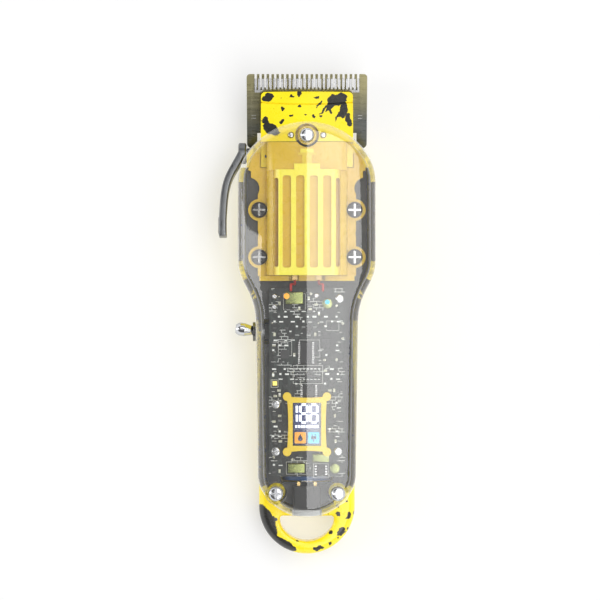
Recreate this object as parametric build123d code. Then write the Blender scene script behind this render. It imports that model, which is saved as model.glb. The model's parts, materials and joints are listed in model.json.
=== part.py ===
from build123d import *
import os
from math import acos, atan2, cos, degrees, pi, radians, sin, sqrt, tan

# Cordless hair clipper lying on its back. Millimetres, +Z out of the clear front cover, +Y to the teeth.

# Casing
SHOULDER = 25.7
WAIST = 19.2
TAIL = 18.3
Y_SHOULDER = 55.6
Y_TAIL = -54.2
TOP_RISE = 22.2
TAIL_RISE = 15.5
WALL = 2.0
Z_SPLIT = 18.0
Z_CROWN = 37.0
R_CROWN_ACROSS = 70.0
R_CROWN_TOP = 257.0
R_CROWN_TAIL = 700.0
Y_CROWN = 20.0
R_BELLY = 88.0
Y_BELLY_TOP = 32.0
R_BACK_TAIL = 200.0
Y_BELLY_TAIL = -40.0
RIM = 4.5
BACK_EDGE = 7.0

# Hanging loop
LOOP_R = 18.1
Y_LOOP = -66.6
LOOP_HOLE = 10.2
Y_HOLE_TOP = -70.2
Y_HOLE_END = -79.9
LOOP_Z = (4.2, 13.6)
LOOP_ROUND = 3.0
LOOP_LIP = 1.0

# Head and blade plane: S runs towards the teeth from their tips, T stands off the cutting plane
BLADE_TILT = 20.0
Y_TIPS = 95.8
Z_TIPS = 21.0
HEAD_W = 17.2
HEAD_WALL = 4.0
HEAD_Z = 20.6
Y_HEAD_FRONT = 87.0
Y_LIP = 89.1
Y_HEAD_COVER = 70.2
HEAD_TOP = 30.0
HEAD_SLOPE = 0.284

# Blade set
FIXED_W = 22.6
FIXED_T = 2.4
FIXED_CHANNEL = 20.8
FIXED_PITCH = 1.83
FIXED_SLOTS = 22
S_LEG = -28.9
S_NOTCH = -22.9
NOTCH_W = 18.75
CUTTER_W = 19.6
CUTTER_PITCH = 1.43
CUTTER_SLOTS = 27
S_CUTTER = -1.6
S_STRIP = -6.6
TANG_W = 11.8
S_TANG = -17.5
S_BLADE_SCREW = -18.6
X_BLADE_SCREW = 15.2

# Drive
MOTOR_R = 10.4
MOTOR_Z = 17.5
MOTOR_Y = (24.5, 56.5)
SHAFT_R = 1.16
ECCENTRIC = 1.1
ROLLER_R = 1.9
S_PIVOT = -20.0
ARM_T = (3.9, 5.9)
FINGER_R = 1.3
FINGER_REACH = 7.5

# Taper lever
LEVER_Y = 66.5
LEVER_Z = 13.6
LEVER_R = 4.0
LEVER_SHAFT = 2.0
CAM_THROW = 4.06
CAM_LEAD = 12.0
LEVER_RISE = 8.0

# Power toggle
TOGGLE = (-17.4, -0.7, 11.5)
TOGGLE_TILT = 7.0

# Fasteners
COVER_SCREWS = ((0, 72.5), (-11.5, -60.7), (11.5, -60.7))
CAGE_SCREWS = ((-17.9, 45.0), (17.9, 45.0), (-17.9, 27.3), (17.9, 27.3))
HEAD_SCREWS = ((-6.0, 72.6), (6.0, 72.6))
COVER_SEAT = 29.6

# Board and battery
PCB_W = 14.2
PCB_Y = (-54.75, 15.6)
PCB_Z = 21.4
PCB_T = 1.6
PCB_TOP = PCB_Z + PCB_T
BATTERY_R = 9.2
BATTERY_Y = (-56.5, 8.5)
BATTERY_Z = 11.9
DISPLAY = (0.0, -35.0)
DISPLAY_TOP = 26.05
PCB_SCREWS = ((-11.6, -27.75), (11.6, -45.4), (-11.6, -45.4), (12.1, 11.7))

# Chips, cans and coils on the board: middle X, middle Y, width, depth
IC_MAIN = (-0.3, -8.5, 4.4, 8.2)
IC_DRIVER = (0.75, -22.7, 4.6, 4.8)
IC_CHARGER = (5.25, -52.4, 3.1, 3.6)
CANS = ((-4.65, 12.0, 6.6, 4.6), (-3.9, -51.5, 6.4, 3.6), (5.2, -47.7, 6.4, 3.2))
ROUND_CANS = ((7.6, 9.9, 2.0), (10.4, -51.6, 1.9))
COILS = ((-8.2, -9.0), (7.2, -5.0))
TEST_POSTS = ((-12.0, 12.6), (-12.1, 8.7), (3.6, 12.9))
LED = (-12.0, -19.9)

BLADE = Plane(
    origin=(0, Y_TIPS, Z_TIPS), x_dir=(1, 0, 0),
    z_dir=(0, -sin(radians(BLADE_TILT)), cos(radians(BLADE_TILT))),
)


def box(x, y, z):
    """A block between two limits on each axis."""
    size = (x[1] - x[0], y[1] - y[0], z[1] - z[0])
    middle = ((x[0] + x[1]) / 2, (y[0] + y[1]) / 2, (z[0] + z[1]) / 2)
    return Pos(*middle) * Box(*size)


def post(x, y, z, radius):
    """A round post along Z."""
    return Pos(x, y, (z[0] + z[1]) / 2) * Cylinder(radius, z[1] - z[0])


def bar(y, radius, x=0.0, z=0.0):
    """A round bar along Y."""
    return Pos(x, (y[0] + y[1]) / 2, z) * Rot(90, 0, 0) * Cylinder(radius, y[1] - y[0])


def pin_x(x, y, z, radius):
    """A round pin along X."""
    return Pos((x[0] + x[1]) / 2, y, z) * Rot(0, 90, 0) * Cylinder(radius, x[1] - x[0])


def on_blade(shape):
    """Moves a shape drawn in X, S, T onto the cutting plane."""
    return BLADE.location * shape


def both_sides(shape):
    """The shape and its mirror image across the middle."""
    return shape + mirror(shape, Plane.YZ)


def group(shapes):
    """Separate solids kept in one node."""
    return Compound(children=[solid for shape in shapes for solid in shape.solids()])


def capsule(p, q, r_p, r_q, z):
    """A flat link with round ends of different size."""
    ends = Pos(*p) * Circle(r_p) + Pos(*q) * Circle(r_q)
    along = atan2(q[1] - p[1], q[0] - p[0])
    gap = sqrt((q[0] - p[0]) ** 2 + (q[1] - p[1]) ** 2)
    lean = acos((r_p - r_q) / gap)
    left = along + lean
    right = along - lean
    points = [
        (p[0] + r_p * cos(left), p[1] + r_p * sin(left)),
        (q[0] + r_q * cos(left), q[1] + r_q * sin(left)),
        (q[0] + r_q * cos(right), q[1] + r_q * sin(right)),
        (p[0] + r_p * cos(right), p[1] + r_p * sin(right)),
    ]
    web = make_face(Polyline(*points, close=True))
    return Pos(0, 0, z[0]) * extrude(ends + web, amount=z[1] - z[0])


def oval_end(half, rise, corner, y, sign):
    """Two tangent arcs that close one half of an end of the casing's outline."""
    reach = half - corner
    big = (reach ** 2 + rise ** 2 - corner ** 2) / (2 * (rise - corner))
    turn = atan2(big - rise, reach)

    def at(centre_x, centre_s, radius, angle):
        return (centre_x + radius * cos(angle), y + sign * (centre_s + radius * sin(angle)))

    side = [at(reach, 0, corner, turn * k / 2) for k in range(3)]
    cap = [at(0, rise - big, big, turn + (pi / 2 - turn) * k / 2) for k in range(3)]
    return [ThreePointArc(*side), ThreePointArc(*cap)]


def outline(inset=0.0):
    """The casing seen from the front: broad shoulders, a waist and a slim tail."""
    corners = [(TAIL, Y_TAIL), (WAIST, 9.3), (SHOULDER, 22.0), (SHOULDER, Y_SHOULDER)]
    side = FilletPolyline(*corners, radius=[25, 16])
    half = [*side.edges(), *oval_end(SHOULDER, TOP_RISE, 18, Y_SHOULDER, 1)]
    half += oval_end(TAIL, TAIL_RISE, 11, Y_TAIL, -1)
    face = make_face(half + [edge.mirror(Plane.YZ) for edge in half])
    if inset:
        face = offset(face, -inset)
    return face


def under_crown(inset=0.0):
    """Everything below the cover's crowned front: an arch swept along two arcs."""
    across = R_CROWN_ACROSS - inset
    top = Z_CROWN - inset
    wide = 40.0
    drop = across - sqrt(across ** 2 - wide ** 2)
    arch = make_face([
        Line((-wide, -45), (wide, -45)),
        Line((wide, -45), (wide, -drop)),
        ThreePointArc((wide, -drop), (0, 0), (-wide, -drop)),
        Line((-wide, -drop), (-wide, -45)),
    ])
    arch = Plane(origin=(0, Y_CROWN, top), x_dir=(1, 0, 0), z_dir=(0, -1, 0)) * arch
    up = revolve(arch, Axis((0, Y_CROWN, Z_CROWN - R_CROWN_TOP), (-1, 0, 0)), revolution_arc=20)
    down = revolve(arch, Axis((0, Y_CROWN, Z_CROWN - R_CROWN_TAIL), (1, 0, 0)), revolution_arc=10)
    return up + down


def arc_rise(y, start, radius):
    """How far an arc that is tangent at start has risen at y."""
    return radius - sqrt(radius ** 2 - (y - start) ** 2)


def above_back(inset=0.0):
    """Everything above the casing's back: flat in the middle, curling up at both ends."""
    tail, head, high = -95.0, 92.0, 60.0
    y_bend = Y_BELLY_TOP + (R_BELLY - inset) * sin(radians(BLADE_TILT))
    y_half = Y_BELLY_TOP + (R_BELLY - inset) * sin(radians(BLADE_TILT / 2))

    def tail_at(y):
        return (y, inset + arc_rise(y, Y_BELLY_TAIL, R_BACK_TAIL - inset))

    def head_at(y):
        return (y, inset + arc_rise(y, Y_BELLY_TOP, R_BELLY - inset))

    bend = head_at(y_bend)
    end = (head, bend[1] + (head - y_bend) * tan(radians(BLADE_TILT)))
    side = make_face([
        ThreePointArc(tail_at(tail), tail_at((tail + Y_BELLY_TAIL) / 2), (Y_BELLY_TAIL, inset)),
        Line((Y_BELLY_TAIL, inset), (Y_BELLY_TOP, inset)),
        ThreePointArc((Y_BELLY_TOP, inset), head_at(y_half), bend),
        Line(bend, end),
        Line(end, (head, high)),
        Line((head, high), (tail, high)),
        Line((tail, high), tail_at(tail)),
    ])
    return extrude(Plane.YZ * side, amount=40, both=True)


def long_edges(part, low, high):
    """The edges that follow the outline round the rim of a crowned or curled face."""
    found = []
    for edge in part.edges():
        a, b, mid = edge @ 0, edge @ 1, edge @ 0.5
        upright = abs(a.X - b.X) < 0.001 and abs(a.Y - b.Y) < 0.001
        if not upright and low < mid.Z < high and abs(mid.X) > 1 and min(a.Z, b.Z) > low - 1:
            found.append(edge)
    return found


def cover_solid(inset, rim):
    """The clear cover's outer shape, drawn in by an inset."""
    body = Pos(0, 0, Z_SPLIT) * extrude(outline(inset), amount=25) & under_crown(inset)
    edges = [e for e in long_edges(body, Z_SPLIT + 1.5, 60)]
    return fillet(edges, rim)


def tub_solid(inset, rim, top):
    """The rear tub's outer shape, drawn in by an inset."""
    body = extrude(outline(inset), amount=top) & above_back(inset)
    edges = [e for e in long_edges(body, -1, top - 0.5) if min((e @ 0).Z, (e @ 1).Z) < top - 0.5]
    return fillet(edges, rim)


def blade_block(x, s, t):
    """A block placed in the tilted blade's own directions."""
    return on_blade(box(x, s, t))


def head_top(y):
    """Height of the head cover's sloping top on the middle line."""
    return HEAD_TOP - HEAD_SLOPE * (y - 68.0)


def under_head_top(inset, half, y):
    """A block under the head's crowned, sloping top."""
    across = R_CROWN_ACROSS - inset
    drop = across - sqrt(across ** 2 - half ** 2)
    arch = make_face([
        Line((-half, -40), (half, -40)),
        Line((half, -40), (half, -drop)),
        ThreePointArc((half, -drop), (0, 0), (-half, -drop)),
        Line((-half, -drop), (-half, -40)),
    ])
    arch = Plane(origin=(0, y[0], head_top(y[0]) - inset), x_dir=(1, 0, 0), z_dir=(0, -1, 0)) * arch
    slope = Vector(0, 1, -HEAD_SLOPE)
    return extrude(arch, amount=(y[1] - y[0]) * slope.length, dir=slope)


def make_rear_housing():
    """Back half: tub, head block with the blade seat, hanging loop and screw posts."""
    tub = tub_solid(0, BACK_EDGE, Z_SPLIT)
    blade_room = blade_block((-40, 40), (-30.5, 30), (-30, 0.35))
    tub = tub - (blade_room - box((-HEAD_W, HEAD_W), (40, 80), (-20, 60)))
    hollow = tub_solid(WALL, BACK_EDGE - WALL, Z_SPLIT + 1) & box((-40, 40), (-90, 63), (-5, 40))
    shell = tub + make_loop() - hollow
    wall = box((-30, 30), (61, 63.5), (-5, Z_SPLIT)) & tub
    shell += wall - box((-13.2, 13.2), (60, 64), (-5, 40))
    head = box((-HEAD_W, HEAD_W), (61, Y_HEAD_FRONT), (0, HEAD_Z))
    head = fillet(head.edges().filter_by(Axis.Z).group_by(Axis.Y)[-1], 1.5)
    shell += head & above_back()
    shell -= blade_block((-40, 40), (S_NOTCH - 0.2, 30), (-20, 0))
    cavity = HEAD_W - HEAD_WALL
    shell -= blade_block((-cavity, cavity), (-45, 20), (-0.4, 40)) & box((-20, 20), (63.4, 90), (0, 60))
    shell -= box((-cavity, cavity), (60, 65.5), (9.6, 40))
    posts = [post(x, y, (1.0, 16.4), 3.2) for x, y in CAGE_SCREWS]
    posts += [post(x, y, (1.6, Z_SPLIT), 3.3) for x, y in COVER_SCREWS[1:]]
    room = tub_solid(0.6, BACK_EDGE - 0.6, Z_SPLIT)
    for item in posts:
        shell += item & room
    for x, y in CAGE_SCREWS:
        shell -= post(x, y, (8.0, 20.0), 1.1)
    for x, y in COVER_SCREWS[1:]:
        shell -= post(x, y, (13.0, 19.0), 1.9)
    shell -= toggle_hole()
    for pocket in mark_pockets():
        shell -= pocket
    shell -= pin_x((-30, -12.9), LEVER_Y, LEVER_Z, LEVER_SHAFT + 0.06)
    shell -= box((-40, -22.6), (61.0, 80), (-5, Z_SPLIT + 1))
    for side in (-1, 1):
        screw = Pos(side * X_BLADE_SCREW, S_BLADE_SCREW, 2.0) * Cylinder(1.1, 8.2)
        shell -= on_blade(screw)
    for x in (-8, 0, 8):
        shell -= box((x - 2.4, x + 2.4), (-34.6, -33.4), (-1, 0.6))
    return shell


def make_loop():
    """The hanging loop: a rounded ring that grows out of the tail."""
    low, high = LOOP_Z
    ring = Pos(0, Y_LOOP) * Circle(LOOP_R)
    ring += Pos(0, (Y_LOOP + Y_TAIL) / 2) * Rectangle(2 * LOOP_R, Y_TAIL - Y_LOOP)
    body = Pos(0, 0, low) * extrude(ring, amount=high - low)
    rim = [e for e in body.edges() if (e @ 0.5).Y < Y_TAIL - 1 and abs((e @ 0).Z - (e @ 1).Z) < 0.01]
    body = fillet(rim, LOOP_ROUND)
    y_side = Y_HOLE_TOP - 1.3
    lower = oval_end(LOOP_HOLE, y_side - Y_HOLE_END, 6.5, y_side, -1)
    top = FilletPolyline((LOOP_HOLE, y_side), (LOOP_HOLE, Y_HOLE_TOP), (0, Y_HOLE_TOP), radius=1.2)
    half = lower + list(top.edges())
    hole = make_face(half + [edge.mirror(Plane.YZ) for edge in half])
    hole = Pos(0, 0, low - 1) * extrude(hole, amount=high - low + 2)
    body -= hole
    lips = [e for e in body.edges() if e.bounding_box().min.Z > low - 0.1
            and abs((e @ 0.5).X) < LOOP_HOLE + 0.1 and Y_HOLE_END - 0.1 < (e @ 0.5).Y < Y_HOLE_TOP + 0.1
            and abs((e @ 0).Z - (e @ 1).Z) < 0.01]
    return fillet(lips, LOOP_LIP)


def toggle_hole():
    """Clearance for the power switch through the side wall."""
    x, y, z = TOGGLE
    return pin_x((-30, x + 2.4), y, z, 3.0)


def make_front_cover():
    """Clear front: crowned shell with three screw bosses and the opening that the head leaves by."""
    shell = cover_solid(0, RIM)
    shell -= cover_solid(WALL, RIM - WALL)
    for x, y in COVER_SCREWS:
        low = COVER_SEAT - 1.2 if y > 0 else Z_SPLIT
        boss = post(x, y, (low, 40), 4.1) & under_crown(0.5)
        shell += boss
        shell -= post(x, y, (COVER_SEAT, 45), 3.0)
        shell -= post(x, y, (Z_SPLIT - 1, 45), 1.55)
    head_room = box((-HEAD_W - 0.3, HEAD_W + 0.3), (Y_HEAD_COVER - 0.3, 80), (Z_SPLIT - 1, 50))
    shell -= head_room & (Pos(0, 0, 0.35) * under_head_top(0, HEAD_W + 0.3, (60, 95)))
    shell -= box((-HEAD_W - 0.3, HEAD_W + 0.3), (60.5, 80), (Z_SPLIT - 1, HEAD_Z + 0.3))
    opening = box((-5.6, 5.6), (-71, -66), (19.8, 25.2))
    shell -= fillet(opening.edges().filter_by(Axis.Y), 1.2)
    return shell


def make_head_cover():
    """Sloping plate over the blades, with a lip over the cutter and two screwed tabs."""
    body = under_head_top(0, HEAD_W, (60, 95)) & box((-20, 20), (Y_HEAD_COVER, Y_LIP), (HEAD_Z, 50))
    body = body - blade_block((-40, 40), (-60, 30), (-30, 2.9))
    ends = [e for e in body.edges().filter_by(Axis.Z) if (e @ 0.5).Y > Y_LIP - 1]
    body = fillet(ends, 1.6)
    inner = under_head_top(2.0, HEAD_W - 1.8, (60, 95))
    inner = inner & box((-20, 20), (60, Y_HEAD_FRONT - 0.8), (HEAD_Z - 1, 50))
    body -= inner
    body -= post(COVER_SCREWS[0][0], COVER_SCREWS[0][1], (15, 50), 4.5)
    lip = blade_block((-HEAD_W - 1, HEAD_W + 1), (-9.6, -9.1), (2.0, 30))
    body -= lip - under_head_top(0.5, HEAD_W - 0.5, (60, 95))
    for x, y in HEAD_SCREWS:
        body += post(x, y, (24.6, 28), 1.7) & under_head_top(1.0, HEAD_W, (60, 95))
        body -= post(x, y, (20, 40), 0.75)
        body -= post(x, y, (head_top(y) - 1.3, 40), 1.3)
    return body


def make_drive_bridge():
    """Dark bridge across the head: carries the arm's pivot pin and the top screw post."""
    bridge = box((-15.2, 15.2), (70.9, 79.0), (HEAD_Z, 24.3))
    bridge = fillet(bridge.edges().filter_by(Axis.Z), 1.5) & under_head_top(2.4, 16, (60, 95))
    bridge -= blade_block((-8.0, 8.0), (-40, 20), (-10, 6.6))
    x, y = COVER_SCREWS[0]
    bridge += post(x, y, (23.4, 27.9), 3.5)
    bridge -= post(x, y, (24.8, 30), 1.9)
    bridge -= on_blade(Pos(0, S_PIVOT, 8) * Cylinder(1.5, 20)) & box((-5, 5), (60, 90), (15, 24.4))
    for sx, sy in HEAD_SCREWS:
        bridge -= post(sx, sy, (22.0, 30), 0.75)
    return bridge


def make_cover_inserts():
    """Threaded brass sleeves under the cover screws."""
    sleeves = []
    for x, y in COVER_SCREWS:
        z = (24.8, 27.9) if y > 0 else (13.0, Z_SPLIT)
        sleeves.append(post(x, y, z, 1.9) - post(x, y, (z[0] - 1, z[1] + 1), 1.25))
    return group(sleeves)


def cross_screw(x, y, seat, head_r, head_h, shank_r, length):
    """A pan-head screw with a cross recess, pointing down."""
    head = post(x, y, (seat, seat + head_h), head_r)
    head = fillet(head.edges().group_by(Axis.Z)[-1], head_h * 0.6)
    screw = head + post(x, y, (seat - length, seat), shank_r)
    arm = head_r * 1.45
    for across, along in ((arm, head_r * 0.3), (head_r * 0.3, arm)):
        slot_z = (seat + head_h * 0.35, 60)
        slot = box((x - across / 2, x + across / 2), (y - along / 2, y + along / 2), slot_z)
        screw -= slot
    return screw


def make_cover_screws():
    screws = []
    for x, y in COVER_SCREWS:
        length = 4.0 if y > 0 else 15.0
        screws.append(cross_screw(x, y, COVER_SEAT, 2.7, 1.9, 1.2, length))
    return group(screws)


def make_cage_screws():
    return group([cross_screw(x, y, 20.4, 3.0, 1.8, 1.05, 9.5) for x, y in CAGE_SCREWS])


def make_head_screws():
    return group([cross_screw(x, y, head_top(y) - 1.3, 1.1, 0.9, 0.7, 4.6) for x, y in HEAD_SCREWS])


def make_mid_chassis():
    """Dark tray across the tub that carries the board and the motor cage."""
    tray = Pos(0, 0, 16.4) * extrude(outline(3.0), amount=1.6)
    tray = tray & box((-40, 40), (-80, 60.8), (0, 60))
    tray -= box((-13.2, 13.2), (56, 70), (0, 60))
    tray -= box((-MOTOR_R - 0.6, MOTOR_R + 0.6), (20.8, 70), (0, 60))
    tray -= box((-9.7, 9.7), (-57.2, 9.2), (0, 60))
    tray -= box((-16.9, -9), (-5.4, 4.0), (0, 60))
    for side in (-1, 1):
        wall = box((side * 12.4 - 0.8, side * 12.4 + 0.8), (-52, 13), (17.9, PCB_Z))
        tray += wall - box((-14, -9), (-6.0, 4.4), (17, 30))
    for x, y in PCB_SCREWS:
        tray += post(x, y, (16.4, PCB_Z), 1.9)
        tray -= post(x, y, (17.6, PCB_Z + 1), 0.9)
    for x, y in CAGE_SCREWS:
        tray -= post(x, y, (10, 20), 1.3)
    for x, y in COVER_SCREWS[1:]:
        tray -= post(x, y, (10, 20), 3.5)
    return tray


def cage_flange():
    """The cage's screw flange: two round lobes on each side, with notches between."""
    half = Pos(9.2, 41.5) * Rectangle(18.4, 42.5)
    half += Pos(10.5, 58.2) * Rectangle(21.0, 9.0)
    for x, y in CAGE_SCREWS[1::2]:
        half += Pos(x, y) * Circle(4.1)
    half -= Pos(21.9, 53.1) * Circle(4.1)
    half -= Pos(21.6, 36.1) * Circle(3.4)
    half += make_face(Polyline((17.5, 58.0), (22.1, 60.0), (19.7, 66.4), (17.5, 66.4), close=True))
    flat = both_sides(Pos(0, 0, Z_SPLIT) * extrude(half, amount=2.4))
    flat &= box((-40, 40), (18.4, 66.4), (0, 60))
    flat -= box((-17.5, 17.5), (60.8, 70), (0, 60))
    return flat - box((-13.2, 13.2), (58.6, 70), (0, 60))


def make_motor_cage():
    """Ribbed amber clamp arched over the motor, with a smooth cap over the eccentric."""
    top = MOTOR_Z + MOTOR_R + 2.4
    ribbed = box((-12.6, 12.6), (20.5, 59.8), (Z_SPLIT, top))
    ribbed = fillet(ribbed.edges().filter_by(Axis.Y).group_by(Axis.Z)[-1], 3.2)
    cap = box((-15.0, 15.0), (59.6, 70.0), (Z_SPLIT + 2.8, top - 1.4))
    cap = fillet(cap.edges().filter_by(Axis.Y).group_by(Axis.Z)[-1], 3.0)
    side = box((-15.2, 15.2), (20.5, 60.4), (Z_SPLIT, top - 3.6))
    side = fillet(side.edges().filter_by(Axis.Y).group_by(Axis.Z)[-1], 4.5)
    body = cage_flange() + side + ribbed + box((-4.8, 4.8), (58, 61.9), (24, top + 0.3)) + cap
    for x in (-7.5, -2.5, 2.5, 7.5):
        groove = box((x - 1.55, x + 1.55), (23.3, 57.5), (top - 1.6, top + 2))
        body -= fillet(groove.edges().filter_by(Axis.Z), 0.9)
    for side in (-1, 1):
        scoop = box((side * 11.4 - 0.75, side * 11.4 + 0.75), (23.6, 56.6), (top - 4.0, top + 2))
        body -= fillet(scoop.edges().filter_by(Axis.Z), 0.7)
    body += box((-2.5, 2.5), (66.0, 67.5), (top - 1.6, top - 0.5))
    body += box((-3.35, 3.35), (65.2, 66.0), (top - 1.6, top - 0.9))
    body += box((-1.85, 1.85), (61.8, 65.3), (top - 1.6, top - 0.9))
    body += box((-17.8, 17.8), (18.4, 20.3), (Z_SPLIT, 22.0))
    body += box((-6.0, 6.0), (19.3, 22.1), (Z_SPLIT, 24))
    body -= bar((21.0, 56.7), MOTOR_R + 0.08, z=MOTOR_Z)
    body -= bar((56.0, 60.0), 5.2, z=MOTOR_Z)
    body -= box((-13.2, 13.2), (60.2, 71), (0, top - 3.4))
    body -= box((-MOTOR_R + 2, MOTOR_R - 2), (56.6, 60.4), (0, MOTOR_Z + 7))
    body -= box((-13.2, 13.2), (58.6, 61), (0, Z_SPLIT + 4.6))
    for x, y in CAGE_SCREWS:
        body -= post(x, y, (10, 30), 1.15) + post(x, y, (20.4, 30), 3.1)
    for side in (-1, 1):
        body -= box((side * 4.9 - 1.9, side * 4.9 + 1.9), (18.0, 21.0), (Z_SPLIT + 1.2, 26))
    body -= post(*COVER_SCREWS[0], (10, 40), 4.4)
    return body & cover_solid(WALL + 0.4, RIM - WALL - 0.4)


def make_motor_can():
    can = bar(MOTOR_Y, MOTOR_R, z=MOTOR_Z)
    can = chamfer(can.edges().group_by(Axis.Y)[-1], 0.8)
    hollow = bar((MOTOR_Y[0] - 1, MOTOR_Y[1] - 1.2), MOTOR_R - 1.1, z=MOTOR_Z)
    return can - hollow - bar((0, 90), 3.0, z=MOTOR_Z)


def make_motor_end_cap():
    cap = bar((21.2, 24.4), MOTOR_R - 0.3, z=MOTOR_Z) + bar((24.3, 26.4), MOTOR_R - 1.3, z=MOTOR_Z)
    return cap - bar((22.4, 27), SHAFT_R + 0.04, z=MOTOR_Z)


def make_motor_terminals():
    tabs = [box((x - 1.0, x + 1.0), (18.9, 21.2), (20.2, 20.6)) for x in (-4.5, 4.5)]
    return group(tabs)


def make_motor_bush():
    """Sintered bush in the motor's nose."""
    bush = bar((54.0, 57.6), 3.0, z=MOTOR_Z) + bar((MOTOR_Y[1], 57.6), 4.6, z=MOTOR_Z)
    return bush - bar((50, 60), SHAFT_R + 0.04, z=MOTOR_Z)


def make_rotor_core():
    """Wound armature on the motor's shaft."""
    core = bar((29.0, 50.0), MOTOR_R - 2.4, z=MOTOR_Z)
    for k in range(3):
        slot = box((-1.1, 1.1), (20, 60), (MOTOR_R - 6.0, MOTOR_R)) 
        core -= Pos(0, 0, MOTOR_Z) * Rot(0, 120 * k, 0) * slot
    return core - bar((20, 60), SHAFT_R, z=MOTOR_Z)


def make_motor_shaft():
    return bar((22.8, 62.6), SHAFT_R, z=MOTOR_Z)


def make_eccentric_hub():
    """Brass-coloured hub on the shaft with a crank pin off its centre."""
    hub = bar((58.0, 63.4), 3.9, z=MOTOR_Z)
    hub = chamfer(hub.edges().filter_by(GeomType.CIRCLE), 0.4)
    hub -= bar((50, 62.6), SHAFT_R, z=MOTOR_Z)
    return hub + bar((63.3, 68.0), 1.2, x=ECCENTRIC, z=MOTOR_Z)


def make_eccentric_roller():
    ring = bar((64.0, 67.4), ROLLER_R, x=ECCENTRIC, z=MOTOR_Z)
    return ring - bar((60, 70), 1.2, x=ECCENTRIC, z=MOTOR_Z)


def make_drive_arm():
    """Rocking arm: a fork round the roller, a pivot and a finger that moves the cutter."""
    rear = capsule((0, S_PIVOT), (0, -25.2), 3.6, 6.2, ARM_T)
    front = capsule((0, S_PIVOT), (0, S_PIVOT + FINGER_REACH), 3.6, 2.1, ARM_T)
    arm = rear + front
    for side in (-1, 1):
        arm += box((side * 5.35 - 0.85, side * 5.35 + 0.85), (-29.8, -25.8), (ARM_T[0], 9.2))
    arm -= box((-4.45, 4.45), (-34, -25.6), (0, 12))
    finger = Pos(0, S_PIVOT + FINGER_REACH, (1.5 + ARM_T[1]) / 2) * Cylinder(FINGER_R, ARM_T[1] - 1.5)
    arm += finger
    arm -= Pos(0, S_PIVOT, 5) * Cylinder(2.3, 10)
    return on_blade(arm)


def make_arm_bushing():
    bush = Pos(0, S_PIVOT, sum(ARM_T) / 2) * Cylinder(2.3, ARM_T[1] - ARM_T[0])
    return on_blade(bush - Pos(0, S_PIVOT, 5) * Cylinder(1.55, 10))


def make_arm_pivot_pin():
    pin = Pos(0, S_PIVOT, 7.2) * Cylinder(1.5, 7.2) + Pos(0, S_PIVOT, 3.45) * Cylinder(2.4, 0.7)
    return on_blade(pin) & box((-5, 5), (60, 90), (0, 24.4))


def tooth_gaps(count, pitch, width, root, tip, t):
    """Round-ended gaps between teeth, open towards the tips."""
    gaps = []
    for k in range(count):
        x = (k - (count - 1) / 2) * pitch
        gap = box((x - width / 2, x + width / 2), (root + width / 2, tip), t)
        end = Pos(x, root + width / 2, (t[0] + t[1]) / 2) * Cylinder(width / 2, t[1] - t[0])
        gaps.append(gap + end)
    return gaps


def make_fixed_blade():
    """Comb blade: toothed front, raised margins beside the cutter's channel, two rear legs."""
    plate = box((-FIXED_W, FIXED_W), (S_LEG, 0), (-FIXED_T, 0.3))
    plate = fillet(plate.edges().filter_by(Axis.Z).group_by(Axis.Y)[0], 2.0)
    plate = fillet(plate.edges().filter_by(Axis.Z).group_by(Axis.Y)[-1], 1.3)
    plate -= box((-FIXED_CHANNEL, FIXED_CHANNEL), (-40, 5), (0, 1))
    plate -= box((-NOTCH_W, NOTCH_W), (-40, S_NOTCH), (-5, 5))
    bevel = make_face(Polyline((-12.0, -FIXED_T), (1.0, -0.25), (1.0, -6), (-12.0, -6), close=True))
    plate -= extrude(Plane.YZ * bevel, amount=30, both=True)
    chisel = make_face(Polyline((-4.2, 0.31), (0.6, -0.35), (0.6, 3), (-4.2, 3), close=True))
    plate -= extrude(Plane.YZ * chisel, amount=30, both=True) - box((-19.9, 19.9), (-5, 5), (-5, 0.0))
    for gap in tooth_gaps(FIXED_SLOTS, FIXED_PITCH, 0.86, -5.4, 1.0, (-4, 2)):
        plate -= gap
    for side in (-1, 1):
        plate -= Pos(side * X_BLADE_SCREW, S_BLADE_SCREW, 0) * Cylinder(1.3, 8)
        cone = Pos(side * X_BLADE_SCREW, S_BLADE_SCREW, -FIXED_T + 0.55) * Cone(2.45, 1.3, 1.15)
        plate -= cone
        for k in range(3):
            x = side * 21.7
            plate -= box((x - 0.12, x + 0.12), (-16.9 + 1.6 * k, -15.9 + 1.6 * k), (0.22, 1))
    return on_blade(plate)


def make_blade_screws():
    screws = []
    for side in (-1, 1):
        x = side * X_BLADE_SCREW
        head = Pos(x, S_BLADE_SCREW, -FIXED_T + 0.6) * Cone(2.35, 1.05, 1.1)
        shank = Pos(x, S_BLADE_SCREW, 1.6) * Cylinder(1.05, 6.6)
        recess = Pos(x, S_BLADE_SCREW, -FIXED_T) * Cylinder(0.9, 1.2)
        screws.append(on_blade(head + shank - recess))
    return group(screws)


def make_moving_blade():
    """Cutter: toothed strip with a thinner tang that reaches back under the head."""
    strip = box((-CUTTER_W, CUTTER_W), (S_STRIP, S_CUTTER), (0.02, 1.6))
    chisel = make_face(Polyline((-5.0, 1.61), (-1.4, 0.45), (-1.4, 3), (-5.0, 3), close=True))
    strip -= extrude(Plane.YZ * chisel, amount=30, both=True)
    body = strip + box((-TANG_W, TANG_W), (S_TANG, S_STRIP + 0.5), (0.02, 1.2))
    for gap in tooth_gaps(CUTTER_SLOTS, CUTTER_PITCH, 0.66, -5.7, 1.0, (-1, 3)):
        body -= gap
    body -= box((-FINGER_R - 0.6, FINGER_R + 0.6), (-14.6, -10.4), (-1, 3))
    return on_blade(body)


def make_blade_driver():
    """Moulded block clipped on the cutter: a slot for the arm's finger, long enough for the taper."""
    block = box((-3.4, 3.4), (-15.8, -9.6), (1.2, 3.5))
    block = fillet(block.edges().filter_by(Axis.Z), 0.8)
    slot = box((-FINGER_R - 0.12, FINGER_R + 0.12), (-14.2, -8.0), (0, 5))
    return on_blade(block - slot)


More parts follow.
